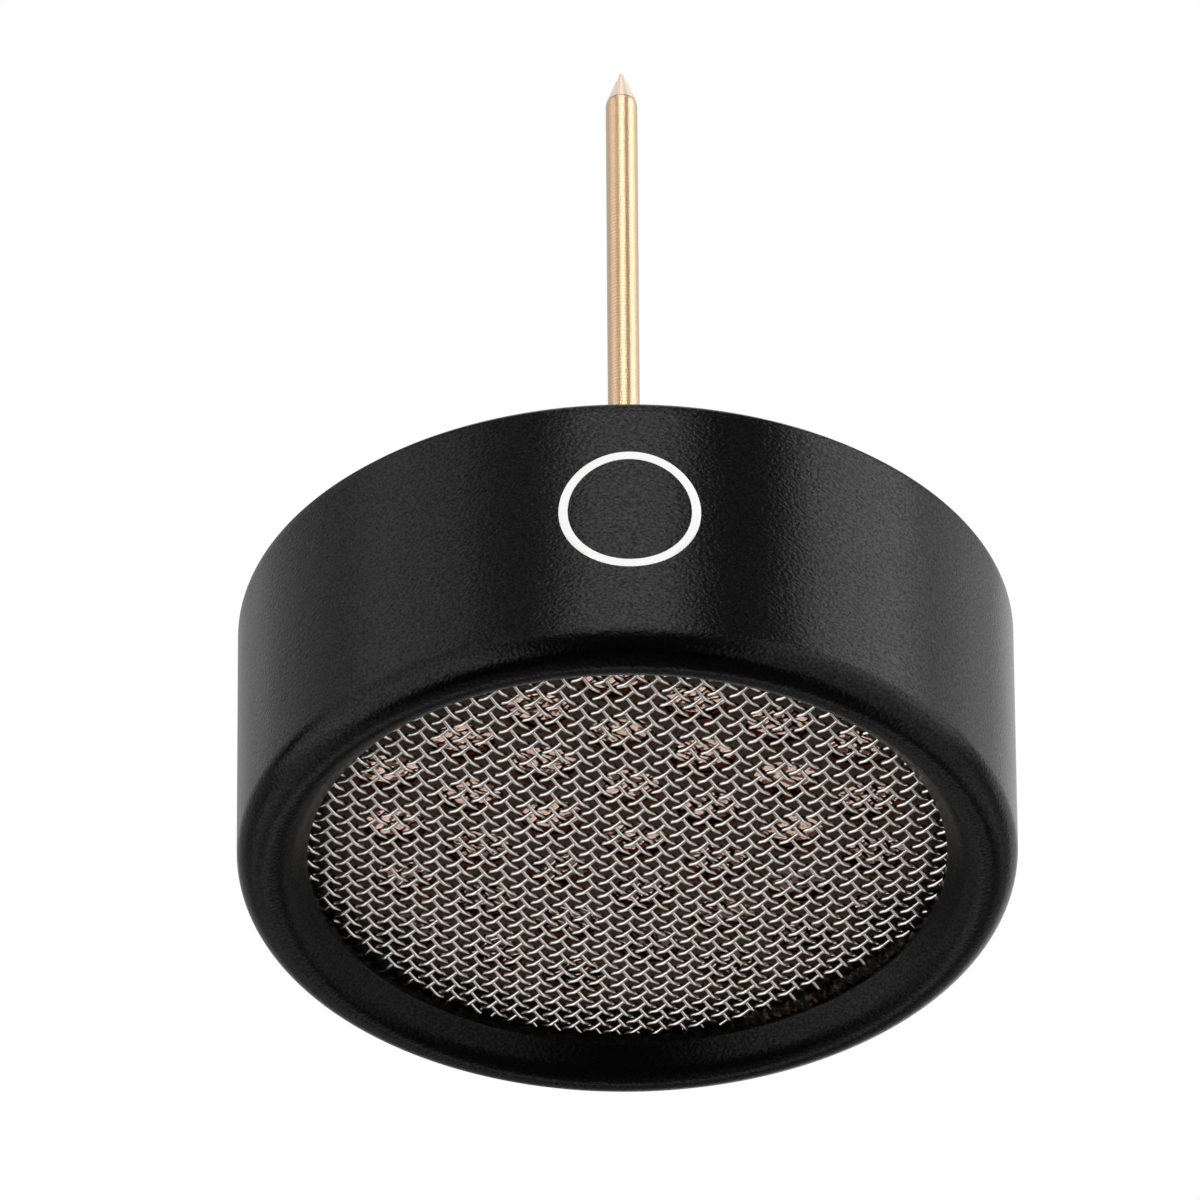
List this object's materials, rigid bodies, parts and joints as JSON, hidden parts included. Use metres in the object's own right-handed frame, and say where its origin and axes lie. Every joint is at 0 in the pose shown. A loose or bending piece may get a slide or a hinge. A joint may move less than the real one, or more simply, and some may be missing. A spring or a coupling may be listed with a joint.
{
  "type": "condenser microphone capsule",
  "caption": "Screw-on head of a small condenser microphone: a round black shell with a bowed wire-cloth grille at the front, an open threaded socket at the rear and a long contact pin on its axis.",
  "frame": {"origin": "centre of the shell's rear rim, on the capsule's axis: the face that seats on the microphone's body", "axes": "+Z along the capsule's axis, the way its grille faces; the contact pin points along -Z; -Y through the painted ring on the shell's side"},
  "size_m": [0.024, 0.024, 0.0313],
  "materials": {
    "black_shell": "matte black, finely textured",
    "white_paint": "matte paint in an engraved groove",
    "wire_cloth": "bright woven stainless wire",
    "adhesive": "aged brown glue",
    "black_ring": "matte",
    "bronze_plate": "dark patinated bronze",
    "shim_film": "dark film",
    "gold_film": "stretched film with a thin metal coat",
    "turned_brass": "turned",
    "white_insulator": "machined",
    "steel": "turned",
    "damping_cloth": "thin felt",
    "bronze_spring": "rolled",
    "gold_pin": "gold plate with fine turning lines"
  },
  "bodies": {
    "root": {"shell": "black_shell", "pickup_mark": "white_paint", "grille_cloth": "wire_cloth", "cloth_adhesive": "adhesive", "cloth_support_ring": "black_ring", "front_plate": "bronze_plate", "film_shim": "shim_film", "diaphragm": "gold_film", "tension_ring": "turned_brass", "backplate": "turned_brass", "insulator": "white_insulator", "backplate_screws": "steel", "damping_cloth": "damping_cloth", "chamber_ring": "turned_brass", "cell_cup": "turned_brass", "vent_plug": "steel", "ground_washer": "bronze_spring", "retaining_ring": "turned_brass", "terminal_stud": "turned_brass", "terminal_washer": "steel", "terminal_nut": "turned_brass", "contact_pin": "gold_pin"}
  },
  "joints": []
}
